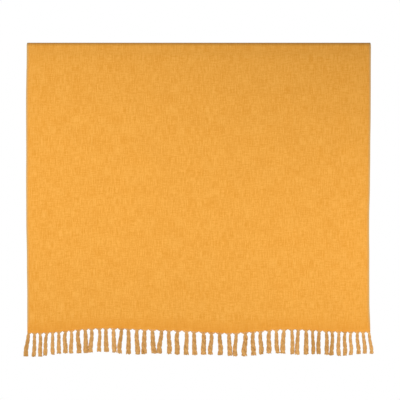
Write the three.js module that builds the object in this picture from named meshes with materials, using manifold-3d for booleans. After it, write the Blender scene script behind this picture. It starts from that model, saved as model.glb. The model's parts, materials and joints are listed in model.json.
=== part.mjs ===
// A woven cotton throw with a tasselled fringe at each end, hanging folded over a round rod.
// Everything is in millimetres. The origin is on the rod's axis, midway along the throw.
// +X runs along the rod, -Y is the front and +Z is up: the long drop hangs in front, the short one behind.
import * as THREE from "three";
import { mergeVertices } from "three/addons/utils/BufferGeometryUtils.js";
import Module from "manifold-3d";

// The throw and the rod that it hangs on.
const THROW_WIDTH = 1270;
const THROW_LENGTH = 1524; // of cloth from end to end, without the tassels
const FRONT_DROP = 1048; // from the rod's axis to the front end of the cloth
const ROD_RADIUS = 14;

// The cloth and its edges. Hems are turned under, so they are flush on the outer side.
const CLOTH_THICKNESS = 2;
const HEM_THICKNESS = 3;
const SIDE_HEM_WIDTH = 11;
const HEADING_HEIGHT = 12; // of the band that the tassels are gathered from

// The front end of the cloth hangs in slow waves: each is a height, a number of waves across the
// throw, and a phase in degrees. A wave of 1 spans the whole width.
const HEM_WAVES = [
  [2.9, 1, 97],
  [6.5, 2, 154],
  [2.6, 3.5, 44],
];

// The tassels.
const TASSEL_COUNT = 48; // on each end
const TASSEL_LENGTH = 86; // from the end of the cloth to the cut yarns
const LENGTH_WAVE = 4; // how far that rises and falls slowly across the throw
const LENGTH_SPREAD = 2.5; // how far a single tassel may be off that wave
const KNOB_RADIUS = 6.2; // of the gathered top
const BACK_ROOT_RADIUS = 3; // of a back tassel inside the cord of yarn that joins them
const NECK_RADIUS = 6;
const NECK_END = 0.25; // of the way down, where the neck starts to widen
const TUFT_START = 0.8; // of the way down, where the widest stretch starts
const TIP_RADIUS = 9; // of the loose lower end, on a tassel of average fullness
const BUNCHING = 0.17; // how much closer than average the tassels are at the two corners
const WANDER_SHARE = 0.2; // of the free room beside a tassel that its top wanders over
const LEAN_SHARE = 0.3; // of that room that its tip leans over
const CORNER_LEAN = { front: 9, back: -5 }; // how far the tips of the two corner tassels lean outwards
const LEANING_TASSELS = 3; // over which that lean dies away
const CLINGING_PAIRS = [3, 10, 14, 19, 28, 34, 36, 41]; // the left one of each two whose tips hang together

// Clearances.
const ROD_CLEARANCE = 0.4; // between the rod and the hem that lies on it
const SEAM_GAP = 0.3; // between pieces that touch

// Fineness of the curved faces.
const FOLD_STEPS = 24; // round the half turn over the rod
const TASSEL_SIDES = 8;
const BACK_TASSEL_SIDES = 6;

const HALF_WIDTH = THROW_WIDTH / 2;
const PANEL_HALF_WIDTH = HALF_WIDTH - SIDE_HEM_WIDTH - SEAM_GAP;
const OUTER_RADIUS = ROD_RADIUS + ROD_CLEARANCE + HEM_THICKNESS;
const CLOTH_OVER_ROD = Math.PI * (OUTER_RADIUS - CLOTH_THICKNESS / 2);
const BACK_DROP = THROW_LENGTH - FRONT_DROP - CLOTH_OVER_ROD;
const TASSEL_SPAN = THROW_WIDTH - 2 * KNOB_RADIUS; // between the axes of the two corner tassels
const MEAN_PITCH = TASSEL_SPAN / (TASSEL_COUNT - 1);
const HINGE_DROP = SEAM_GAP + KNOB_RADIUS; // from the end of the cloth to a tassel's hinge
const TASSEL_Y = OUTER_RADIUS - HEM_THICKNESS / 2; // the tassels hang from the middle of the hem

const MUSTARD = new THREE.Color(0xe9a23b);
const HEM_MUSTARD = new THREE.Color(0xe39a36);
const YARN_OCHRE = new THREE.Color(0xc98a35);
const TURN = 2 * Math.PI;

const wasm = await Module();
wasm.setup();

const throwGroup = new THREE.Group();

function addPiece(name, geometry, color) {
  const material = new THREE.MeshStandardMaterial({ color, roughness: 0.95, metalness: 0 });
  const mesh = new THREE.Mesh(geometry, material);
  mesh.name = name;
  throwGroup.add(mesh);
  return mesh;
}

// ---- Shapes shared by the pieces ----

// A half ring round the rod from x = start to x = end, flush with the outer side of the cloth.
function foldGeometry(start, end, thickness) {
  const section = new THREE.Shape();
  section.absarc(0, 0, OUTER_RADIUS, 0, Math.PI, false);
  section.absarc(0, 0, OUTER_RADIUS - thickness, Math.PI, 0, true);
  const options = { depth: end - start, bevelEnabled: false, curveSegments: FOLD_STEPS };
  const alongRod = new THREE.Matrix4().makeBasis(
    new THREE.Vector3(0, 1, 0),
    new THREE.Vector3(0, 0, 1),
    new THREE.Vector3(1, 0, 0),
  );
  const geometry = new THREE.ExtrudeGeometry(section, options);
  return geometry.applyMatrix4(alongRod).translate(start, 0, 0);
}

// An upright slab between two heights that vary with x. side is -1 at the front and 1 at the back,
// and the slab's outer face is flush with the outer side of the cloth.
function slabGeometry(side, xs, topAt, bottomAt, thickness) {
  const top = xs.map((x) => new THREE.Vector2(x, topAt(x)));
  const bottom = xs.map((x) => new THREE.Vector2(x, bottomAt(x)));
  const outline = new THREE.Shape([...bottom, ...top.reverse()]);
  const options = { depth: thickness, bevelEnabled: false };
  const highestY = side > 0 ? OUTER_RADIUS : thickness - OUTER_RADIUS;
  const geometry = new THREE.ExtrudeGeometry(outline, options);
  return geometry.rotateX(Math.PI / 2).translate(0, highestY, 0);
}

// ---- Where things lie along the throw ----

function hemWave(x) {
  return HEM_WAVES.reduce((sum, [height, waves, phase]) => {
    const angle = (TURN * waves * x) / THROW_WIDTH + THREE.MathUtils.degToRad(phase);
    return sum + height * Math.cos(angle);
  }, 0);
}

// The height of the cloth's end at x, at the front and at the back.
const frontEndAt = (x) => hemWave(x) - FRONT_DROP;
const backEndAt = () => -BACK_DROP;

// A tassel gathers its own stretch of cloth, so it is fuller where the tassels are further apart.
function pitchAt(share) {
  return MEAN_PITCH * (1 - BUNCHING * Math.cos(TURN * share));
}

function tipRadiusAt(share) {
  return TIP_RADIUS * Math.sqrt(pitchAt(share) / MEAN_PITCH);
}

function spareRoomAt(share) {
  return pitchAt(share) - 2 * tipRadiusAt(share) - SEAM_GAP;
}

// A repeatable number from -1 to 1 that looks irregular from one tassel to the next.
function irregular(index, turns) {
  return Math.sin(TURN * turns * index);
}

// The lean of a corner tassel's tip, outwards, which dies away over the next few tassels.
function cornerLean(index, lean) {
  const fromLeft = Math.max(0, 1 - index / LEANING_TASSELS);
  const fromRight = Math.max(0, 1 - (TASSEL_COUNT - 1 - index) / LEANING_TASSELS);
  return lean * (fromRight - fromLeft);
}

// Where a tassel's axis starts and ends along X, and how thick and long the tassel is.
function tasselPlace(index, outwards) {
  const share = index / (TASSEL_COUNT - 1);
  const even = TASSEL_SPAN * (share - 0.5 - (BUNCHING * Math.sin(TURN * share)) / TURN);
  const inside = index > 0 && index < TASSEL_COUNT - 1 ? 1 : 0;
  const wander = inside * WANDER_SHARE * spareRoomAt(share) * irregular(index, 0.382);
  const lean = inside * LEAN_SHARE * spareRoomAt(share) * irregular(index, 0.271);
  return {
    top: even + wander,
    tip: even + wander + lean + cornerLean(index, outwards),
    tipRadius: tipRadiusAt(share),
    length: TASSEL_LENGTH + LENGTH_WAVE * irregular(index, -0.048) + LENGTH_SPREAD * irregular(index, 0.147),
  };
}

// Two neighbours whose tips hang together share out the gap between them.
function clingTogether(left, right) {
  const gap = right.tip - left.tip - left.tipRadius - right.tipRadius - SEAM_GAP;
  left.tip += gap / 2;
  right.tip -= gap / 2;
}

const indices = Array.from({ length: TASSEL_COUNT }, (_, index) => index);
const frontPlaces = indices.map((index) => tasselPlace(index, CORNER_LEAN.front));
const backPlaces = indices.map((index) => tasselPlace(index, CORNER_LEAN.back));
CLINGING_PAIRS.forEach((number) => clingTogether(frontPlaces[number - 1], frontPlaces[number]));

// The ends of the cloth bend only at the tassels, so every tassel hangs a seam's gap below its edge.
const headingXs = [-HALF_WIDTH, ...frontPlaces.map((place) => place.top), HALF_WIDTH];
const panelXs = [
  -PANEL_HALF_WIDTH,
  ...headingXs.filter((x) => Math.abs(x) < PANEL_HALF_WIDTH - SEAM_GAP),
  PANEL_HALF_WIDTH,
];

// ---- The cloth over the rod ----

function addFold() {
  addPiece("fold_over_rod", foldGeometry(-PANEL_HALF_WIDTH, PANEL_HALF_WIDTH, CLOTH_THICKNESS), MUSTARD);
  const hemEnd = SIDE_HEM_WIDTH - HALF_WIDTH;
  addPiece("fold_left_hem", foldGeometry(-HALF_WIDTH, hemEnd, HEM_THICKNESS), HEM_MUSTARD);
  addPiece("fold_right_hem", foldGeometry(-hemEnd, HALF_WIDTH, HEM_THICKNESS), HEM_MUSTARD);
}

// ---- The two drops: a panel, its two side hems and the heading along its end ----

function addDrop(label, side, endAt) {
  const top = () => -SEAM_GAP;
  const headingTop = (x) => endAt(x) + HEADING_HEIGHT;
  const clothEnd = (x) => headingTop(x) + SEAM_GAP;
  const hemEnd = SIDE_HEM_WIDTH - HALF_WIDTH;
  const panel = slabGeometry(side, panelXs, top, clothEnd, CLOTH_THICKNESS);
  const leftHem = slabGeometry(side, [-HALF_WIDTH, hemEnd], top, clothEnd, HEM_THICKNESS);
  const rightHem = slabGeometry(side, [-hemEnd, HALF_WIDTH], top, clothEnd, HEM_THICKNESS);
  const heading = slabGeometry(side, headingXs, headingTop, endAt, HEM_THICKNESS);
  addPiece(`${label}_panel`, panel, MUSTARD);
  addPiece(`${label}_left_hem`, leftHem, HEM_MUSTARD);
  addPiece(`${label}_right_hem`, rightHem, HEM_MUSTARD);
  addPiece(`${label}_heading`, heading, HEM_MUSTARD);
}

// ---- The tassels ----

// A tassel about its hinge, pointing down: its top, a twisted neck and a wider cut tip.
function tasselGeometry(place, topProfile, sides) {
  const reach = place.length - HINGE_DROP;
  const profile = [
    [0, -reach],
    [place.tipRadius, -reach],
    [place.tipRadius, -TUFT_START * reach],
    [NECK_RADIUS, -NECK_END * reach],
    ...topProfile,
  ].map(([radius, height]) => new THREE.Vector2(radius, height));
  const lean = Math.asin((place.tip - place.top) / reach);
  return new THREE.LatheGeometry(profile, sides).rotateX(Math.PI / 2).rotateY(-lean);
}

// A round top, which turns freely under the cloth's edge.
const KNOB_SLANT = KNOB_RADIUS * Math.SQRT1_2;
const KNOB_PROFILE = [
  [KNOB_RADIUS, 0],
  [KNOB_SLANT, KNOB_SLANT],
  [0, KNOB_RADIUS],
];

function addFrontTassels() {
  frontPlaces.forEach((place, index) => {
    const name = `front_tassel_${String(index + 1).padStart(2, "0")}`;
    const mesh = addPiece(name, tasselGeometry(place, KNOB_PROFILE, TASSEL_SIDES), YARN_OCHRE);
    mesh.position.set(place.top, -TASSEL_Y, frontEndAt(place.top) - HINGE_DROP);
  });
}

// ---- The back fringe: one piece, its tassels joined along the cord of yarn that they hang from ----

function solidFrom(geometry) {
  const bare = new THREE.BufferGeometry();
  bare.setAttribute("position", geometry.getAttribute("position"));
  bare.setIndex(geometry.index);
  const merged = mergeVertices(bare, 1e-3);
  const mesh = new wasm.Mesh({
    numProp: 3,
    vertProperties: new Float32Array(merged.attributes.position.array),
    triVerts: new Uint32Array(merged.index.array),
  });
  return new wasm.Manifold(mesh);
}

function geometryFrom(solid) {
  const { vertProperties, triVerts } = solid.getMesh();
  const geometry = new THREE.BufferGeometry();
  geometry.setAttribute("position", new THREE.BufferAttribute(vertProperties, 3));
  geometry.setIndex(new THREE.BufferAttribute(triVerts, 1));
  geometry.computeVertexNormals();
  return geometry;
}

// A flat top inside the cord, narrower than the cord is.
const ROOT_PROFILE = [
  [BACK_ROOT_RADIUS, 0],
  [0, 0],
];

function addBackFringe() {
  const cord = new THREE.CylinderGeometry(KNOB_RADIUS, KNOB_RADIUS, THROW_WIDTH, TASSEL_SIDES);
  const joined = backPlaces
    .map((place) => tasselGeometry(place, ROOT_PROFILE, BACK_TASSEL_SIDES).translate(place.top, 0, 0))
    .reduce((solid, tassel) => solid.add(solidFrom(tassel)), solidFrom(cord.rotateZ(Math.PI / 2)));
  const mesh = addPiece("back_fringe", geometryFrom(joined), YARN_OCHRE);
  mesh.position.set(0, TASSEL_Y, -BACK_DROP - HINGE_DROP);
}

addFold();
addDrop("front", -1, frontEndAt);
addDrop("back", 1, backEndAt);
addFrontTassels();
addBackFringe();

export default throwGroup;
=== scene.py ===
"""A mustard cotton throw with tasselled ends, hanging folded over a rod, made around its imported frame.

Lengths are in metres, in the frame's own axes: +X runs along the rod, -Y is the front and +Z is up.
Each drop is one continuous sheet from the top of the fold to its end, with its side hems turned under.
"""
import json
import math
import random

import bpy
import numpy as np
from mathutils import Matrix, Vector


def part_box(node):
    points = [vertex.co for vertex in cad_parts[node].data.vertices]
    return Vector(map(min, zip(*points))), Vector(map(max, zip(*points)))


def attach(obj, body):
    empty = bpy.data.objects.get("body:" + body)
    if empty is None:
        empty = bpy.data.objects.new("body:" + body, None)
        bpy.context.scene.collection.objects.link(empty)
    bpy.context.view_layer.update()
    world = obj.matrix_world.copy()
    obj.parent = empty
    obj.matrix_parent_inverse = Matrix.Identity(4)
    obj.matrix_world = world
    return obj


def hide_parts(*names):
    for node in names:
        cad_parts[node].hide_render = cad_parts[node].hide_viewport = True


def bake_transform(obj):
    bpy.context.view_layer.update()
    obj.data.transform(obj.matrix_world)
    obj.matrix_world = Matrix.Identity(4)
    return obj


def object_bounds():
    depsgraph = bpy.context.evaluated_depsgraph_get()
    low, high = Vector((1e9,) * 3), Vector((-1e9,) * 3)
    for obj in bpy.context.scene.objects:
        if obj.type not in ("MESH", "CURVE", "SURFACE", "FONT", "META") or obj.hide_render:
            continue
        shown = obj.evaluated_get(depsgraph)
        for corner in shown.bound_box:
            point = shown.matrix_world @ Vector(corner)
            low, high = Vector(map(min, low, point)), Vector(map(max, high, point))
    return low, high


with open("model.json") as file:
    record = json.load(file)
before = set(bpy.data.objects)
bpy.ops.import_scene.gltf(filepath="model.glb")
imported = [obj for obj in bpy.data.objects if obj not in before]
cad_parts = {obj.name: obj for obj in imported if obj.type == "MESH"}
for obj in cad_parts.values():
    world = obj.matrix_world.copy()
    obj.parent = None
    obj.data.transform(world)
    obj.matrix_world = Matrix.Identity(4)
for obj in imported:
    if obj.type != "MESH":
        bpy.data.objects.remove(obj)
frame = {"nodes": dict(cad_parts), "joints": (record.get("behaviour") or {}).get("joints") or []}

CAD_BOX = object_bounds()
MM = 0.001
TURN = 2 * math.pi
ACROSS, OUTWARDS = (1, 0, 0), (0, 1, 0)
BAKE_MAP = "OFBake"  # the UV map that patterns are laid out in

# ---- The cloth ----
CLOTH_THICKNESS = 1.3 * MM
HEM_LAYER_GAP = 0.2 * MM  # between the cloth and the hem turned under it
COLUMNS_PER_TASSEL = 8
HEM_ROLL_STEPS = 6
HEM_COLUMNS = [0.3, 0.65, 0.9, 1]  # shares of the way from the roll to the cut edge
FOLD_STEPS = 12  # over the quarter turn from the top of the rod to a drop
FOLD_LIP = 0.01  # of that turn, in a first narrow row at the top, where the two sheets meet
ROW_HEIGHT = 12 * MM
FINE_ROWS = [30 * MM, 24 * MM, 18 * MM, 13 * MM, 9 * MM, 6 * MM, 3.5 * MM, 1.5 * MM, 0]  # above the end
NORMAL_STEP = 0.5 * MM  # either side of a point, to find which way the cloth faces there

# ---- How the drops hang ----
WAVES = [(3.2 * MM, 0.52, 0.6), (2.0 * MM, 0.27, 2.1), (0.9 * MM, 0.118, 4.4)]  # height, length, phase
WAVE_DRIFT = 1.4  # how far the waves drift sideways down the drop, in radians for each metre
WAVES_FULL = 0.9  # of a metre down, where the waves have their full height
DENTS = 14  # slow random waves that make the cloth a little uneven
DENT_HEIGHT = 0.22 * MM
DENT_LENGTHS = (70 * MM, 240 * MM)
DENTS_FULL = 0.3  # of a metre down, where the dents and the creases have their full height
CREASES = [-0.306, 0.012, 0.274]  # storage creases, as shares of the width
CREASE_HEIGHT = 0.6 * MM
CREASE_WIDTH = 7 * MM
SCALLOP_RISE = 1.9 * MM  # of the cloth's end between two tassels
SCALLOP_REACH = 9 * MM  # how far up it dies away
SCALLOP_POWER = 1.2  # above 1 makes the cloth's end narrower where it runs into a tassel
RUFFLE_HEIGHT = 0.9 * MM  # of the cloth's bulge between two tassels
RUFFLE_REACH = 28 * MM
FOLD_CLEAR = 0.1  # of a drop, or of a metre down, over which what shapes the end stays off the fold
GATHER_PULL = 1.1 * MM  # of the cloth's end towards the tassels
EDGE_SHARES = [0, 0.19, 0.36, 0.47, 0.61, 0.75, 0.89, 1]  # of the way down, where the side edges are known
EDGE_PULL = {  # how far in from straight each side edge hangs there, in millimetres
    "left": [0, -2.9, -2.8, -3.1, -2.5, 0, 1.3, 1.4],
    "right": [0, 0.1, 1.6, 2.6, 5.5, 4.9, 4.6, 1.1],
}
EDGE_CURL = 3.5 * MM  # how far back a side edge curls
EDGE_CURL_REACH = 6 * MM
EDGE_CURL_FULL = 60 * MM  # down, where it has curled fully
STAND_OFF = 3.5 * MM  # of the cloth below the rod, where it is too stiff to turn straight down
STAND_OFF_START = 26 * MM  # over which it grows
STAND_OFF_END = 0.5  # of a metre down, where it has died away

# ---- Stitches, packed picks and gathered warp ----
STITCH_INSET = 9.3 * MM
STITCH_LENGTH = 3.1 * MM
STITCH_GAP = 1.3 * MM
THREAD_RADIUS = 0.42 * MM
THREAD_HEIGHT = 0.2 * MM  # how far a stitch's ends sink into the cloth
STITCH_SHARES = np.linspace(0, 1, 5)  # of a stitch's length
STITCH_TAPER = np.array([0.7, 1, 1.05, 1, 0.7])
STITCH_RISE = 2.2  # from a stitch's ends to its middle, in those heights
STITCH_POWER = 0.7  # below 1 makes it rise fast and lie flat
PICKS = 5  # wefts packed together at the end of the cloth
PICK_RADIUS = 1.0 * MM
FIRST_PICK = 0.6  # from the end to the first pick, and from each to the next, in radii
PICK_PITCH = 2.05
WARP_BUNDLES = 11  # that gather into one tassel
WARP_RADIUS = 0.95 * MM
WARP_STEPS = 9
WARP_TAPER = np.linspace(0.9, 1.1, WARP_STEPS)
WARP_START = 1.2 * MM  # inside the cloth's end
WARP_SPREAD = 0.55  # of the neck's radius that the bundles gather into
WARP_FAN = 1.2  # of that, how far sideways the outer bundles would go, if they weren't stopped at 1
WARP_LEADS = (0.45, 0.5)  # of a bundle's height, to its curve's control points: from the cloth, from the neck

# ---- A tassel: plies twisted together, each of several yarns laid round a core ----
PLIES = 2
YARNS_PER_PLY = 7
NECK_SHARE = 0.8  # of the radius at the cut end
FULLNESS = (0.97, 1.22)  # least and most, of the yarns beside the plain solid that stands for them
DOME_HEIGHT = 4.4 * MM  # of the gathered top above the hinge
DOME_LENGTH = 15 * MM  # over which it rounds out to the neck, so that it clears the cloth when it swings
DOME_DEPTH = 0.8  # 1 would close the dome to a point
WIDENING = (0.15, 0.9)  # where the tassel starts and stops widening, as shares of the way down
PLY_SHARE = 0.64  # of the tassel's radius that a ply's own radius takes
FLATTENING = 0.2  # how much the plies press each other flat
YARN_RADIUS = 1.0 * MM
YARN_BLOOM = 0.6  # how much thicker a yarn is where it is loose
YARN_TOP = 0.6  # of a yarn's radius that it has at the top of the dome
LEAST_RING = 0.2 * MM  # between a ply's axis and its yarns
PLY_TURNS = 2.1
PLY_EASE = 0.12  # of those turns, lost because the plies turn more slowly towards the cut end
YARN_TURNS = 2.6
CORE_SPAN = (0.02, 0.95)  # where the cores of the plies start and stop, as shares of the way down
TASSEL_STEPS = 34
TASSEL_BOW = 2.0 * MM
UNEVEN_CUT = 2.4 * MM
CUT_RANGE = (-1, 0.4)  # shortest and longest yarn, in uneven cuts
CUT_SPREAD = 0.9 * MM
SPREAD_START = 0.8  # of the way down, where the cut ends start to spread
FIBRES = 18  # loose fibres at a cut end
FIBRE_RADIUS = 0.22 * MM
FIBRE_LENGTH = 5 * MM
FIBRE_LENGTHS = (0.7, 1.3)  # least and most, beside that
FIBRE_SWAY = 2.2 * MM
FIBRE_STEPS = 4
FIBRE_TAPER = np.linspace(1, 0.4, FIBRE_STEPS)
YARN_STRIP, CORE_STRIP, WARP_STRIP = 0.74, 0.8, 0.95  # where each kind's strip of the UV map ends
YARN_SIDES, CORE_SIDES, FIBRE_SIDES = 6, 8, 4

# ---- From the frame ----
HALF_WIDTH = (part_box("fold_right_hem")[1].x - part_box("fold_left_hem")[0].x) / 2
HEM_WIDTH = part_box("fold_left_hem")[1].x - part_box("fold_left_hem")[0].x
OUTER_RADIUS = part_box("fold_over_rod")[1].z
BACK_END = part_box("back_heading")[0].z
END_BAND = 8 * MM  # above a tassel's cut end, which takes in that end only
QUARTER = OUTER_RADIUS * math.pi / 2  # of cloth from the top of the fold to a drop

rng = random.Random(48)


def smooth(t):
    """0 below 0, 1 above 1 and a smooth step between them."""
    t = np.clip(t, 0, 1)
    return t * t * (3 - 2 * t)


# ---- Meshes ----

class Shape:
    """Quads that are gathered from several parts, with a UV for each corner."""

    def __init__(self):
        self.points, self.quads, self.corners, self.count = [], [], [], 0

    def add(self, points, quads, corners):
        self.points.append(points.reshape(-1, 3))
        self.quads.append(quads.reshape(-1, 4) + self.count)
        self.corners.append(corners.reshape(-1, 2))
        self.count += len(self.points[-1])

    def piece(self, name, material):
        mesh = bpy.data.meshes.new(name)
        mesh.from_pydata(np.concatenate(self.points).tolist(), [], np.concatenate(self.quads).tolist())
        layer = mesh.uv_layers.new(name=BAKE_MAP)
        layer.uv.foreach_set("vector", np.concatenate(self.corners).astype(np.float32).ravel())
        mesh.shade_smooth()
        mesh.materials.append(material)
        made = bpy.data.objects.new(name, mesh)
        bpy.context.scene.collection.objects.link(made)
        return made


def grid_quads(rows, columns):
    """The corner numbers of a grid's quads, numbered row by row."""
    i, j = np.meshgrid(np.arange(rows - 1), np.arange(columns - 1), indexing="ij")
    first = i * columns + j
    return np.stack([first, first + 1, first + columns + 1, first + columns], -1).reshape(-1, 4)


def add_tubes(shape, paths, radii, sides, reference, strip=(0.0, 1.0)):
    """Adds closed tubes along paths (tubes x rings x 3), which share the strip of the UV map across.

    No path may run along the reference direction. The caps take a small spot of the map each.
    """
    count, rings = paths.shape[:2]
    along = np.gradient(paths, axis=1)
    along /= np.linalg.norm(along, axis=2, keepdims=True)
    first = np.cross(along, reference)
    first /= np.linalg.norm(first, axis=2, keepdims=True)
    second = np.cross(along, first)
    turn = TURN * np.arange(sides) / sides
    spokes = np.cos(turn)[:, None] * first[:, :, None] + np.sin(turn)[:, None] * second[:, :, None]
    points = paths[:, :, None] + np.broadcast_to(radii, (count, rings))[:, :, None, None] * spokes

    i, j = np.meshgrid(np.arange(rings - 1), np.arange(sides), indexing="ij")
    wall = np.stack([i * sides + j, i * sides + (j + 1) % sides], -1)
    wall = np.concatenate([wall, wall[..., ::-1] + sides], -1).reshape(-1, 4)
    wall_u = np.stack([j, j + 1, j + 1, j], -1).reshape(-1, 4) / sides
    wall_v = np.stack([i, i, i + 1, i + 1], -1).reshape(-1, 4) / (rings - 1)

    k = 2 * np.arange(sides // 2 - 1)
    cap = np.stack([0 * k, k + 1, k + 2, k + 3], -1)
    cap_u = 0.5 + 0.4 * np.cos(turn[cap])
    cap_v = 0.02 + 0.01 * np.sin(turn[cap])
    quads = np.concatenate([wall, cap[:, ::-1], cap + (rings - 1) * sides])
    u = np.concatenate([wall_u, cap_u[:, ::-1], cap_u])
    v = np.concatenate([wall_v, cap_v[:, ::-1], 1 - cap_v])

    tube = np.arange(count)[:, None, None]
    u = strip[0] + (strip[1] - strip[0]) * (tube + u) / count
    v = np.broadcast_to(v, u.shape)
    shape.add(points, quads + tube * rings * sides, np.stack([u, v], -1))


# ---- Where the tassels are ----

def hinge_of(body):
    joint = next(joint for joint in frame["joints"] if joint["child"] == body)
    return np.array(joint["pos_m"], float)


def tassel_place(name):
    """A front tassel's hinge, the middle of its cut end and its radius there, from its CAD node."""
    points = np.array([vertex.co for vertex in frame["nodes"][name].data.vertices])
    end = points[points[:, 2] < points[:, 2].min() + END_BAND]
    return {
        "hinge": hinge_of(name),
        "tip": (end.min(0) + end.max(0)) / 2,
        "tip_radius": float(np.ptp(end[:, 1])) / 2,
    }


TASSELS = sorted(name for name in frame["nodes"] if name.startswith("front_tassel_"))
FRONT_PLACES = [tassel_place(name) for name in TASSELS]
TASSEL_XS = np.array([place["hinge"][0] for place in FRONT_PLACES])
HINGE_DROP = BACK_END - hinge_of("back_fringe")[2]  # from the end of the cloth to a tassel's hinge


def back_places():
    """The same for the back tassels, which are one CAD node and as long as the front ones."""
    points = np.array([vertex.co for vertex in frame["nodes"]["back_fringe"].data.vertices])
    hinge = hinge_of("back_fringe")
    end_heights = hinge[2] + [place["tip"][2] - place["hinge"][2] for place in FRONT_PLACES]
    ends = points[points[:, 2] < np.interp(points[:, 0], TASSEL_XS, end_heights) + END_BAND]
    ends = np.array_split(ends[ends[:, 0].argsort()], len(FRONT_PLACES))
    return [
        {**place, "hinge": hinge + [place["hinge"][0], 0, 0], "tip": (end.min(0) + end.max(0)) / 2}
        for place, end in zip(FRONT_PLACES, ends)
    ]


BACK_PLACES = back_places()


# ---- The hanging surface ----

def slow_dents():
    """Radians for each metre across and down, and phases, of the waves that make the cloth uneven."""
    made = []
    for _ in range(DENTS):
        heading, length = rng.uniform(0, TURN), rng.uniform(*DENT_LENGTHS)
        across, down = TURN * math.cos(heading) / length, TURN * math.sin(heading) / length
        made.append((across, down, rng.uniform(0, TURN)))
    return made


class Drop:
    """One side of the throw: where its outer face lies, by place across and share of the way down."""

    def __init__(self, label, side, places):
        self.label, self.side, self.places = label, side, places
        self.ends = np.array([place["hinge"][2] + HINGE_DROP for place in places])
        self.length = -float(self.ends.mean())
        self.dents = slow_dents()
        self.phase = rng.uniform(0, TURN)

    def end(self, x):
        return np.interp(x, TASSEL_XS, self.ends)

    def between(self, x):
        """The share of the way from one tassel to the next, and how wide that way is beside the average."""
        index = np.interp(x, TASSEL_XS, np.arange(len(TASSEL_XS)))
        pitch = np.interp(x, (TASSEL_XS[1:] + TASSEL_XS[:-1]) / 2, np.diff(TASSEL_XS))
        return index % 1, pitch / np.diff(TASSEL_XS).mean()

    def bulge(self, x, down, above_end):
        """How far the cloth stands out from the plane that it hangs in."""
        z = -down * self.length
        hang = down * self.length
        waves = sum(
            height * np.cos(TURN * x / length + phase + self.phase + WAVE_DRIFT * z)
            for height, length, phase in WAVES
        )
        dents = DENT_HEIGHT * sum(np.cos(a * x + b * z + phase) for a, b, phase in self.dents)
        creases = sum(
            np.exp(-(((x - 2 * HALF_WIDTH * share) / CREASE_WIDTH) ** 2)) for share in CREASES
        )
        share, pitch = self.between(x)
        ruffle = RUFFLE_HEIGHT * pitch * np.cos(TURN * share) * np.exp(-above_end / RUFFLE_REACH)
        stand_off = STAND_OFF * (1 - np.exp(-((hang / STAND_OFF_START) ** 2)))
        stand_off = stand_off * (1 - smooth(hang / STAND_OFF_END))
        curl = EDGE_CURL * np.exp(-(HALF_WIDTH - np.abs(x)) / EDGE_CURL_REACH)
        uneven = (dents + creases * CREASE_HEIGHT) * smooth(hang / DENTS_FULL)
        flat = waves * smooth(hang / WAVES_FULL) + uneven
        curled = flat + stand_off - curl * smooth(hang / EDGE_CURL_FULL)
        return curled - ruffle * smooth(hang / FOLD_CLEAR)

    def draw_in(self, x, down):
        """How far a point moves along X because the side edges don't hang straight."""
        knot = np.interp(down, EDGE_SHARES, np.arange(len(EDGE_SHARES)))
        first = np.minimum(knot.astype(int), len(EDGE_SHARES) - 2)
        left, right = (
            pull[first] + (pull[first + 1] - pull[first]) * smooth(knot - first)
            for pull in (MM * np.array(EDGE_PULL[name]) for name in ("left", "right"))
        )
        share = np.abs(x) / HALF_WIDTH
        return np.where(x < 0, left, -right) * share**2

    def face(self, x, t):
        """A point of the outer face: t is -1 at the fold's top, 0 where the drop starts and 1 at its end."""
        x, t = np.broadcast_arrays(np.asarray(x, float), np.asarray(t, float))
        angle = np.minimum(t + 1, 1) * TURN / 4
        down = np.maximum(t, 0)
        end = self.end(x)
        above_end = (1 - down) * -end
        share, pitch = self.between(x)
        arch = np.abs(np.sin(np.pi * share)) ** SCALLOP_POWER
        near_end = np.exp(-above_end / SCALLOP_REACH) * smooth(t / FOLD_CLEAR)
        across = x + self.draw_in(x, down) - GATHER_PULL * np.sin(TURN * share) * near_end
        y = self.side * (OUTER_RADIUS * np.sin(angle) + self.bulge(x, down, above_end))
        z = OUTER_RADIUS * np.cos(angle) + down * end + SCALLOP_RISE * pitch * arch * near_end
        return np.stack([across, y, z], -1)

    def place(self, x, t, depth):
        """The point at a depth under the outer face, measured square to it."""
        x, t, depth = np.broadcast_arrays(*(np.asarray(value, float) for value in (x, t, depth)))
        t_step = NORMAL_STEP / QUARTER
        across = self.face(x + NORMAL_STEP, t) - self.face(x - NORMAL_STEP, t)
        down = self.face(x, t + t_step) - self.face(x, t - t_step)
        out = np.cross(across, down) * self.side
        out /= np.linalg.norm(out, axis=-1, keepdims=True)
        return self.face(x, t) - depth[..., None] * out

    def share_at(self, x, distance):
        """t at a distance along the cloth from the top of the fold."""
        over = distance / QUARTER - 1
        return np.where(over < 0, over, (distance - QUARTER) / -self.end(x))


# ---- The two sheets ----

ROLL_RADIUS = (CLOTH_THICKNESS + HEM_LAYER_GAP) / 2  # of the turned edge, to the cloth's middle
ROLL_START = HALF_WIDTH - ROLL_RADIUS - CLOTH_THICKNESS / 2
ROLL_LENGTH = math.pi * ROLL_RADIUS
CUT_HALF_WIDTH = ROLL_START + ROLL_LENGTH + HEM_WIDTH


def cut_columns():
    """Places across the cut cloth, from one cut edge to the other: even steps between the tassels."""
    steps = np.arange(0, len(TASSEL_XS) - 1 + 1e-9, 1 / COLUMNS_PER_TASSEL)
    flat = np.interp(steps, np.arange(len(TASSEL_XS)), TASSEL_XS)
    right = np.concatenate([
        ROLL_START + ROLL_LENGTH * np.arange(HEM_ROLL_STEPS + 1) / HEM_ROLL_STEPS,
        ROLL_START + ROLL_LENGTH + HEM_WIDTH * np.array(HEM_COLUMNS),
    ])
    return np.concatenate([-right[::-1], flat, right])


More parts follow.
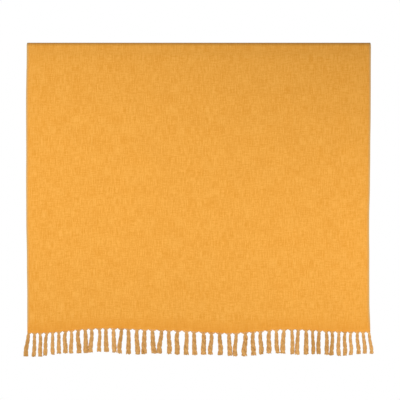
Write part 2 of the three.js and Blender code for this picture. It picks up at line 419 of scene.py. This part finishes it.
def section(cut, layer):
    """Where a cut place lies across and how deep, on the cloth's outer (0) or inner (1) face."""
    past = np.abs(cut) - ROLL_START
    angle = np.clip(past, 0, ROLL_LENGTH) / ROLL_RADIUS
    radius = ROLL_RADIUS + CLOTH_THICKNESS * (0.5 - layer)
    x = np.minimum(np.abs(cut), ROLL_START) + radius * np.sin(angle) - np.maximum(past - ROLL_LENGTH, 0)
    depth = CLOTH_THICKNESS / 2 + ROLL_RADIUS - radius * np.cos(angle)
    return np.sign(cut) * x, depth


def row_shares(drop):
    """t at each row, from the top of the fold to the end."""
    fold = np.concatenate([[-1, FOLD_LIP - 1], np.linspace(-1, 0, FOLD_STEPS + 1)[1:-1]])
    drop_rows = np.arange(0, drop.length - FINE_ROWS[0], ROW_HEIGHT) / drop.length
    return np.concatenate([fold, drop_rows, 1 - np.array(FINE_ROWS) / drop.length])


def cloth_place(cut, t, length):
    """UV of a cut place, so that the whole cut fills the map."""
    distance = np.where(t < 0, (t + 1) * QUARTER, QUARTER + t * length)
    u, v = np.broadcast_arrays(0.5 + cut / (2 * CUT_HALF_WIDTH), 1 - distance / (QUARTER + length))
    return np.stack([u, v], -1)


def make_sheet(drop, name, material):
    cut, t = cut_columns(), row_shares(drop)[:, None]
    shape = Shape()
    rows, columns = len(t), len(cut)
    quads = grid_quads(rows, columns)
    uv = cloth_place(cut, t, drop.length).reshape(-1, 2)
    faces = [drop.place(x, t, depth) for x, depth in (section(cut, layer) for layer in (0, 1))]
    outer = quads if drop.side > 0 else quads[:, ::-1]
    inner = outer[:, ::-1] + rows * columns
    number = np.arange(rows * columns).reshape(rows, columns)
    rim = np.concatenate([number[0], number[1:, -1], number[-1, -2::-1], number[-2::-1, 0]])
    edge = np.stack([rim[:-1], rim[:-1] + rows * columns, rim[1:] + rows * columns, rim[1:]], -1)
    edge = edge if drop.side > 0 else edge[:, ::-1]
    every = np.concatenate([outer, inner, edge])
    shape.add(np.stack(faces), every, uv[every % (rows * columns)])
    return shape.piece(name, material)


# ---- Seams and ends ----

def stitch_row(drop, inset, depth, lift):
    """Centre lines of the stitches that run down one side hem, on a face at a depth."""
    x = math.copysign(HALF_WIDTH - abs(inset), inset)
    pitch = STITCH_LENGTH + STITCH_GAP
    cloth = QUARTER + drop.length - 2 * pitch
    start = np.arange(pitch / 2, cloth, pitch)[:, None]
    distance = start + STITCH_LENGTH * STITCH_SHARES
    sunk = depth + lift * (1 - STITCH_RISE * np.sin(np.pi * STITCH_SHARES) ** STITCH_POWER)
    return drop.place(x, drop.share_at(x, distance), sunk)


def make_stitching(drop, name, side, material):
    shape = Shape()
    layers = 2 * CLOTH_THICKNESS + HEM_LAYER_GAP
    for depth, lift, strip in ((0, THREAD_HEIGHT, (0, 0.5)), (layers, -THREAD_HEIGHT, (0.5, 1))):
        paths = stitch_row(drop, side * STITCH_INSET, depth, lift)
        add_tubes(shape, paths, THREAD_RADIUS * STITCH_TAPER, YARN_SIDES, ACROSS, strip)
    return shape.piece(name, material)


def make_picks(drop, name, material):
    """The last wefts, packed close, which follow the scallops of the cloth's end."""
    cut = cut_columns()
    x = cut[np.abs(cut) <= ROLL_START]
    above = (FIRST_PICK + PICK_PITCH * np.arange(PICKS)[:, None]) * PICK_RADIUS
    paths = drop.place(x, 1 - above / drop.length, CLOTH_THICKNESS / 2)
    shape = Shape()
    add_tubes(shape, paths, PICK_RADIUS * np.ones(len(x)), YARN_SIDES, OUTWARDS)
    return shape.piece(name, material)


def warp_bundles(drop, index):
    """Centre lines of the warp bundles that gather from the cloth's end into one tassel."""
    middles = np.concatenate([[-ROLL_START], (TASSEL_XS[1:] + TASSEL_XS[:-1]) / 2, [ROLL_START]])
    share = (np.arange(WARP_BUNDLES) + 0.5) / WARP_BUNDLES
    x = middles[index] + (middles[index + 1] - middles[index]) * share
    start = drop.place(x, 1 - WARP_START / drop.length, CLOTH_THICKNESS / 2)
    hinge = drop.places[index]["hinge"]
    neck = NECK_SHARE * drop.places[index]["tip_radius"]
    # They close in a half ring on the neck's -Y side, on both drops.
    sideways = np.clip(WARP_FAN * (2 * share - 1), -1, 1)
    spoke = np.stack([sideways, -np.sin(np.pi * share), 0 * share], -1)
    end = hinge + WARP_SPREAD * neck * spoke
    # A cubic curve that leaves the cloth and enters the neck straight down.
    height = (start[:, 2] - end[:, 2])[:, None] * [0, 0, 1]
    first, last = start - WARP_LEADS[0] * height, end + WARP_LEADS[1] * height
    s = np.linspace(0, 1, WARP_STEPS)[:, None, None]
    path = (1 - s) ** 3 * start + 3 * s * (1 - s) ** 2 * first + 3 * s**2 * (1 - s) * last + s**3 * end
    return path.transpose(1, 0, 2)


# ---- Tassels ----

def bundle_radius(depth, length, tip_radius):
    """A tassel's radius at a depth below the top of its dome."""
    dome = np.sqrt(1 - DOME_DEPTH * np.clip(1 - depth / DOME_LENGTH, 0, 1) ** 2)
    wide = smooth((depth / length - WIDENING[0]) / (WIDENING[1] - WIDENING[0]))
    return tip_radius * (NECK_SHARE * dome + (1 - NECK_SHARE) * wide), wide


def tassel_yarns(place, draw):
    """Centre lines (yarns x rings x 3) and radii of one tassel's yarns, then of its plies' cores."""
    top = place["hinge"] + [0, 0, DOME_HEIGHT]
    axis = place["tip"] - top
    length = np.linalg.norm(axis)
    count = PLIES * YARNS_PER_PLY
    cut = np.array([draw.uniform(*CUT_RANGE) for _ in range(count)])[:, None] * UNEVEN_CUT
    stray = np.array([[draw.uniform(-1, 1), draw.uniform(-1, 1)] for _ in range(count)]) * CUT_SPREAD
    bows = [TASSEL_BOW * draw.uniform(-1, 1) for _ in range(4)]
    twist_start, lay_start = draw.random(), draw.random()
    tip_radius = place["tip_radius"] * draw.uniform(*FULLNESS)

    def lay(share, ply, turn_share, fill):
        """Centre lines and radii at shares of the way down, of yarns (fill 1) or of cores (fill 0)."""
        radius, wide = bundle_radius(share * length, length, tip_radius)
        slimming = YARN_TOP + (1 - YARN_TOP) * smooth(share * length / DOME_HEIGHT)
        yarn = YARN_RADIUS * (1 + YARN_BLOOM * wide) * slimming
        twist = TURN * (twist_start + PLY_TURNS * share * (1 - PLY_EASE * share) + ply / PLIES)
        inner = TURN * (lay_start + turn_share - YARN_TURNS * share)
        ring = np.maximum(PLY_SHARE * radius - yarn, LEAST_RING)
        outwards = (1 - PLY_SHARE) * radius + fill * (1 - FLATTENING) * ring * np.cos(inner)
        around = fill * (1 + FLATTENING) * ring * np.sin(inner)
        x = outwards * np.cos(twist) - around * np.sin(twist)
        y = outwards * np.sin(twist) + around * np.cos(twist)
        x = x + bows[0] * np.sin(TURN * share / 2) + bows[1] * np.sin(TURN * share)
        y = y + bows[2] * np.sin(TURN * share / 2) + bows[3] * np.sin(TURN * share)
        paths = top + share[..., None] * axis + np.stack([x, y, 0 * x], -1)
        return paths, (yarn if fill else ring * (1 - FLATTENING))

    share = np.linspace(0, 1, TASSEL_STEPS) * (1 + cut / length)
    number = np.arange(count)[:, None]
    paths, radii = lay(share, number // YARNS_PER_PLY, number / YARNS_PER_PLY, 1)
    spread = smooth((share - SPREAD_START) / (1 - SPREAD_START))
    paths[..., :2] += spread[..., None] * stray[:, None]
    core_share = np.broadcast_to(np.linspace(*CORE_SPAN, TASSEL_STEPS), (PLIES, TASSEL_STEPS))
    return paths, radii, *lay(core_share, np.arange(PLIES)[:, None], 0, 0)


def loose_fibres(paths, draw):
    """Short fibres that stand out of the cut yarn ends."""
    made = []
    for _ in range(FIBRES):
        path = paths[draw.randrange(len(paths))]
        root = path[-3] + [draw.uniform(-1, 1) * MM, draw.uniform(-1, 1) * MM, 0]
        sway = np.array([draw.uniform(-1, 1), draw.uniform(-1, 1), 0]) * FIBRE_SWAY
        fall = np.array([0, 0, -FIBRE_LENGTH * draw.uniform(*FIBRE_LENGTHS)])
        made.append([root + share * fall + share**2 * sway for share in np.linspace(0, 1, FIBRE_STEPS)])
    return np.array(made)


def make_tassel(drop, index, body, material):
    """One tassel, with the warp that gathers into it. It bends from the cloth's end to below its hinge."""
    name = f"{drop.label}_yarns_{index + 1:02d}"
    draw = random.Random(name)
    paths, radii, cores, core_radii = tassel_yarns(drop.places[index], draw)
    fibres, warp = loose_fibres(paths, draw), warp_bundles(drop, index)
    shape = Shape()
    add_tubes(shape, paths, radii, YARN_SIDES, OUTWARDS, (0, YARN_STRIP))
    add_tubes(shape, cores, core_radii, CORE_SIDES, OUTWARDS, (YARN_STRIP, CORE_STRIP))
    add_tubes(shape, warp, WARP_RADIUS * WARP_TAPER, YARN_SIDES, OUTWARDS, (CORE_STRIP, WARP_STRIP))
    add_tubes(shape, fibres, FIBRE_RADIUS * FIBRE_TAPER, FIBRE_SIDES, OUTWARDS, (WARP_STRIP, 1))
    tassel = shape.piece(name, material)
    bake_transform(tassel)
    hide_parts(body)
    return tassel


# ---- Materials ----

MIX_FACTOR, MIX_A, MIX_B, MIX_RESULT = 0, 6, 7, 2  # a Mix node's sockets when it mixes colours


def add_node(tree, kind, inputs=(), **settings):
    """A new node. Each input is a value, or an output socket to link from."""
    made = tree.nodes.new("ShaderNode" + kind)
    for key, value in settings.items():
        setattr(made, key, value)
    for key, value in dict(inputs).items():
        if isinstance(value, bpy.types.NodeSocket):
            tree.links.new(value, made.inputs[key])
        else:
            made.inputs[key].default_value = value
    return made


def math_node(tree, operation, a, b=0.0, c=0.0):
    return add_node(tree, "Math", {0: a, 1: b, 2: c}, operation=operation).outputs[0]


def scaled(tree, vector, scale):
    return add_node(tree, "Mapping", {"Vector": vector, "Scale": scale}).outputs[0]


def noise(tree, vector, sizes, detail=1.0, roughness=0.5):
    """Noise of about 0 to 1, whose lumps have these sizes along the axes."""
    scale = [1 / size for size in sizes]
    inputs = {"Vector": scaled(tree, vector, scale), "Scale": 1.0, "Detail": detail, "Roughness": roughness}
    return add_node(tree, "TexNoise", inputs).outputs["Fac"]


def mix_colours(tree, share, a, b):
    """From colour a at 0 to colour b at 1."""
    mixed = {MIX_FACTOR: share, MIX_A: a, MIX_B: b}
    return add_node(tree, "Mix", mixed, data_type="RGBA").outputs[MIX_RESULT]


def ramp(tree, value, start, end, kind="LINEAR"):
    """0 where the value is at the start, 1 where it is at the end."""
    limits = {"Value": value, "From Min": start, "From Max": end}
    return add_node(tree, "MapRange", limits, interpolation_type=kind).outputs[0]


def new_material(name):
    """A material with a matt, slightly fuzzy shader, its tree, and its place on the UV map."""
    material = bpy.data.materials.new(name)
    material.use_nodes = True
    tree = material.node_tree
    shader = tree.nodes["Principled BSDF"]
    shader.inputs["Roughness"].default_value = 0.92
    shader.inputs["Specular IOR Level"].default_value = 0.18
    shader.inputs["Sheen Weight"].default_value = 0.12
    shader.inputs["Sheen Roughness"].default_value = 0.55
    shader.inputs["Sheen Tint"].default_value = (1.0, 0.78, 0.42, 1)
    place = add_node(tree, "UVMap", uv_map=BAKE_MAP).outputs[0]
    return material, tree, shader, place


def add_relief(tree, shader, height, distance):
    bump = add_node(tree, "Bump", {"Height": height, "Distance": distance, "Strength": 1.0})
    tree.links.new(bump.outputs[0], shader.inputs["Normal"])


CLOTH_TONES = (1.13, 1.52)  # of the summed noises, from the deep colour to the light one
YARN_TONES = (1.0, 1.75)
CLOTH_LIGHT = (0.800, 0.378, 0.064, 1)
CLOTH_DEEP = (0.700, 0.290, 0.030, 1)
# painted shade: a darker, paler cloth colour for the side edges, where they curl away
CLOTH_EDGE_SHADE = (0.58, 0.36, 0.13, 1)
HEADING_COLOUR = (0.71, 0.285, 0.030, 1)
YARN_LIGHT = (0.82, 0.48, 0.175, 1)
YARN_DEEP = (0.56, 0.29, 0.075, 1)
THREAD_COLOUR = (0.80, 0.33, 0.035, 1)
EDGE_SHADE_REACH = 12 * MM  # of the painted shade along a side edge: darker, paler cloth where the edge curls away
HEADING_BAND = (60 * MM, 5 * MM)  # above the end, where the deeper band starts and is full
HEADING_SHARE = 0.6  # of the heading's colour in it
SLUB_WIDTH = 2.8 * MM
WARP_SLUB, WEFT_SLUB = 38 * MM, 30 * MM  # lengths of the thick places
SPECK_SIZE = (4 * MM, 5 * MM, 1)
CLOUD_SIZE = (60 * MM, 60 * MM, 1)
WARP_WEIGHT, WEFT_WEIGHT, SPECK_WEIGHT, CLOUD_WEIGHT = 1.1, 0.85, 0.45, 0.25
THREAD_PITCH = 1.2 * MM
THREAD_WEIGHT = 0.25  # of single threads in the relief, beside the thick places
THREAD_DRIFT = 9.0  # radians that the threads stray from an even spacing
DRIFT_SIZE = (1 / 60, 1 / 60, 1 / 60)
CLOTH_RELIEF = 0.28 * MM
YARN_RELIEF = 0.25 * MM
FIBRE_BREADTH = 1 / 7  # of a strand
FIBRE_STREAK = 9 * MM
LUMP_SIZE = (9 * MM, 9 * MM, 9 * MM)
DYE_SIZE = (30 * MM, 30 * MM, 0.2)
LUMP_WEIGHT, DYE_WEIGHT = 0.9, 0.8  # beside the fibres
THREAD_STRANDS, THREAD_LAY = 500, 1  # across the map of a row of stitches, and turns along one
PICK_LAY = 160
TASSEL_LENGTH, YARN_LAY = 95 * MM, 9


def cloth_material(name, length):
    """Slub plain weave: short thick places in both directions over fine crossing threads."""
    material, tree, shader, place = new_material(name)
    flat = scaled(tree, place, (2 * CUT_HALF_WIDTH, QUARTER + length, 1))
    warp = noise(tree, flat, (SLUB_WIDTH, WARP_SLUB, 1), 2.0, 0.6)
    weft = noise(tree, flat, (WEFT_SLUB, SLUB_WIDTH, 1), 2.0, 0.6)
    specks = noise(tree, flat, SPECK_SIZE)
    cloudy = noise(tree, flat, CLOUD_SIZE, 2.0)
    tone = math_node(tree, "MULTIPLY", warp, WARP_WEIGHT)
    for part, weight in ((weft, WEFT_WEIGHT), (specks, SPECK_WEIGHT), (cloudy, CLOUD_WEIGHT)):
        tone = math_node(tree, "MULTIPLY_ADD", part, weight, tone)
    colour = mix_colours(tree, ramp(tree, tone, *CLOTH_TONES), CLOTH_DEEP, CLOTH_LIGHT)

    separate = add_node(tree, "SeparateXYZ", {0: place}).outputs
    from_middle = math_node(tree, "ABSOLUTE", math_node(tree, "SUBTRACT", separate[0], 0.5))
    # Painted shade: the colour turns darker and paler towards each side edge, where the cloth curls away.
    fold_at = HALF_WIDTH / (2 * CUT_HALF_WIDTH)
    edge_shade_from = fold_at - EDGE_SHADE_REACH / (2 * CUT_HALF_WIDTH)
    edge_shade = ramp(tree, from_middle, edge_shade_from, fold_at, "SMOOTHSTEP")
    colour = mix_colours(tree, edge_shade, colour, CLOTH_EDGE_SHADE)
    band_start, band_full = (above / length for above in HEADING_BAND)
    heading = ramp(tree, separate[1], band_start, band_full, "SMOOTHSTEP")
    heading = math_node(tree, "MULTIPLY", heading, HEADING_SHARE)
    tree.links.new(mix_colours(tree, heading, colour, HEADING_COLOUR), shader.inputs["Base Color"])

    threads = math_node(tree, "MULTIPLY", thread_waves(tree, flat, 0), thread_waves(tree, flat, 1))
    add_relief(tree, shader, math_node(tree, "MULTIPLY_ADD", threads, THREAD_WEIGHT, tone), CLOTH_RELIEF)
    return material


def thread_waves(tree, flat, axis):
    """A slightly uneven sine across the threads that run one way, from -1 to 1."""
    stray = math_node(tree, "MULTIPLY", noise(tree, flat, DRIFT_SIZE), THREAD_DRIFT)
    along = add_node(tree, "SeparateXYZ", {0: flat}).outputs[axis]
    angle = math_node(tree, "MULTIPLY_ADD", along, TURN / (2 * THREAD_PITCH), stray)
    return math_node(tree, "SINE", angle)


def yarn_material(name, light, deep, strands, length, lay):
    """Cotton yarn: fine fibres that wind lay times round each strand of this length, uneven in tone."""
    material, tree, shader, place = new_material(name)
    across, along = add_node(tree, "SeparateXYZ", {0: place}).outputs[:2]
    wound = math_node(tree, "MULTIPLY_ADD", along, lay, math_node(tree, "MULTIPLY", across, strands))
    coiled = add_node(tree, "CombineXYZ", {0: wound, 1: along, 2: 0.0}).outputs[0]
    fibres = noise(tree, coiled, (FIBRE_BREADTH, FIBRE_STREAK / length, 1), 2.0, 0.65)
    space = add_node(tree, "TexCoord").outputs["Object"]
    tone = math_node(tree, "MULTIPLY_ADD", noise(tree, space, DYE_SIZE), DYE_WEIGHT, fibres)
    tone = math_node(tree, "MULTIPLY_ADD", noise(tree, space, LUMP_SIZE, 2.0), LUMP_WEIGHT, tone)
    colour = mix_colours(tree, ramp(tree, tone, *YARN_TONES), deep, light)
    tree.links.new(colour, shader.inputs["Base Color"])
    add_relief(tree, shader, fibres, YARN_RELIEF)
    return material


# ---- The throw ----

def make_drop(label, side, places):
    """One side of the throw, with everything on it but the tassels."""
    drop = Drop(label, side, places)
    body = f"{label}_drop"
    cloth = cloth_material(f"{label}_cloth", drop.length)
    sheet = make_sheet(drop, f"{label}_cloth", cloth)
    stitchings = []
    for name, way in (("left", -1), ("right", 1)):
        colours = THREAD_COLOUR, HEADING_COLOUR
        thread = yarn_material(
            f"{label}_{name}_thread", *colours, THREAD_STRANDS, STITCH_LENGTH, THREAD_LAY
        )
        stitching = make_stitching(drop, f"{label}_{name}_stitching", way, thread)
        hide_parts(f"{label}_{name}_hem")
        stitchings.append(stitching)
    for piece in (sheet, *stitchings):
        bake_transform(piece)
    pick_yarn = yarn_material(
        f"{label}_pick_yarn", CLOTH_LIGHT, HEADING_COLOUR, PICKS, 2 * HALF_WIDTH, PICK_LAY
    )
    picks = make_picks(drop, f"{label}_packed_picks", pick_yarn)
    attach(picks, body)
    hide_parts(f"{label}_heading")
    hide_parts(f"{label}_panel")
    return drop, sheet, [*stitchings, picks]


TASSEL_YARN = yarn_material(
    "tassel_yarn", YARN_LIGHT, YARN_DEEP, PLIES * YARNS_PER_PLY / YARN_STRIP, TASSEL_LENGTH, YARN_LAY
)

front, front_sheet, front_trim = make_drop("front", -1, FRONT_PLACES)
back, back_sheet, back_trim = make_drop("back", 1, BACK_PLACES)
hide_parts("fold_over_rod")
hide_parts("fold_left_hem")
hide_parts("fold_right_hem")

front_tassels, back_tassels = [], []
for index, name in enumerate(TASSELS):
    front_tassels.append(make_tassel(front, index, name, TASSEL_YARN))
    back_tassels.append(make_tassel(back, index, "back_fringe", TASSEL_YARN))


# ---- The studio ----

FRAME_WIDTH = 1.475  # that the view takes in at the cloth
CAMERA_LENS, SENSOR = 100, 36
VIEW_SHIFT = 4.4 * MM  # of the view's middle to the right of the throw's
VIEW_RISE = -1.9 * MM  # of it above the middle of the throw's height
FLOOR_DROP = 0.6  # from the lowest tassel to the floor
FLOOR_RADIUS = 2.1


def add_floor():
    bpy.ops.mesh.primitive_circle_add(vertices=96, radius=FLOOR_RADIUS, fill_type="NGON",
                                      location=(0, 0, CAD_BOX[0].z - FLOOR_DROP))
    floor = bpy.context.object
    floor.name = "floor"
    material = bpy.data.materials.new("floor")
    material.use_nodes = True
    shader = material.node_tree.nodes["Principled BSDF"]
    shader.inputs["Base Color"].default_value = (0.86, 0.86, 0.85, 1)
    shader.inputs["Roughness"].default_value = 0.9
    floor.data.materials.append(material)


def add_light(name, place, target, size, watts):
    light = bpy.data.lights.new(name, "AREA")
    light.shape, light.size, light.size_y, light.energy = "RECTANGLE", *size, watts
    made = bpy.data.objects.new(name, light)
    made.location = place
    made.rotation_euler = (Vector(target) - Vector(place)).to_track_quat("-Z", "Y").to_euler()
    bpy.context.scene.collection.objects.link(made)


def add_world(seen, lighting):
    """An even white surround, brighter where it is seen than it lights."""
    world = bpy.data.worlds.new("studio")
    bpy.context.scene.world = world
    world.use_nodes = True
    tree = world.node_tree
    surround = tree.nodes["Background"]
    surround.inputs["Strength"].default_value = lighting
    surround.inputs["Color"].default_value = (1, 1, 1, 1)
    backdrop = add_node(tree, "Background", {"Color": (1, 1, 1, 1), "Strength": seen})
    direct = add_node(tree, "LightPath").outputs["Is Camera Ray"]
    mixed = add_node(tree, "MixShader", {0: direct, 1: surround.outputs[0], 2: backdrop.outputs[0]})
    tree.links.new(mixed.outputs[0], tree.nodes["World Output"].inputs["Surface"])


def add_camera():
    data = bpy.data.cameras.new("camera")
    data.lens, data.sensor_width = CAMERA_LENS, SENSOR
    camera = bpy.data.objects.new("camera", data)
    height = (CAD_BOX[0].z + CAD_BOX[1].z) / 2 + VIEW_RISE
    camera.location = (VIEW_SHIFT, -OUTER_RADIUS - FRAME_WIDTH * CAMERA_LENS / SENSOR, height)
    camera.rotation_euler = (math.radians(90), 0, 0)
    bpy.context.scene.collection.objects.link(camera)
    bpy.context.scene.camera = camera


add_floor()
add_world(1.0, 0.33)
add_light("key", (-0.84, -1.7, -0.46), (-0.84, 0, -0.46), (1.8, 0.6), 26.5)
add_light("low_fill", (1.12, -1.03, -0.80), (1.12, 0, -0.80), (1.4, 0.6), 8.3)
add_light("back_fill", (0.6, 2.2, -0.1), (0.2, 0, -0.3), (1.8, 1.2), 36)
for way in (-1, 1):
    add_light("side_fill", (2.6 * way, 0, -0.4), (0, 0, -0.4), (0.5, 1.4), 8)
add_camera()
bpy.context.scene.view_settings.view_transform = "Standard"
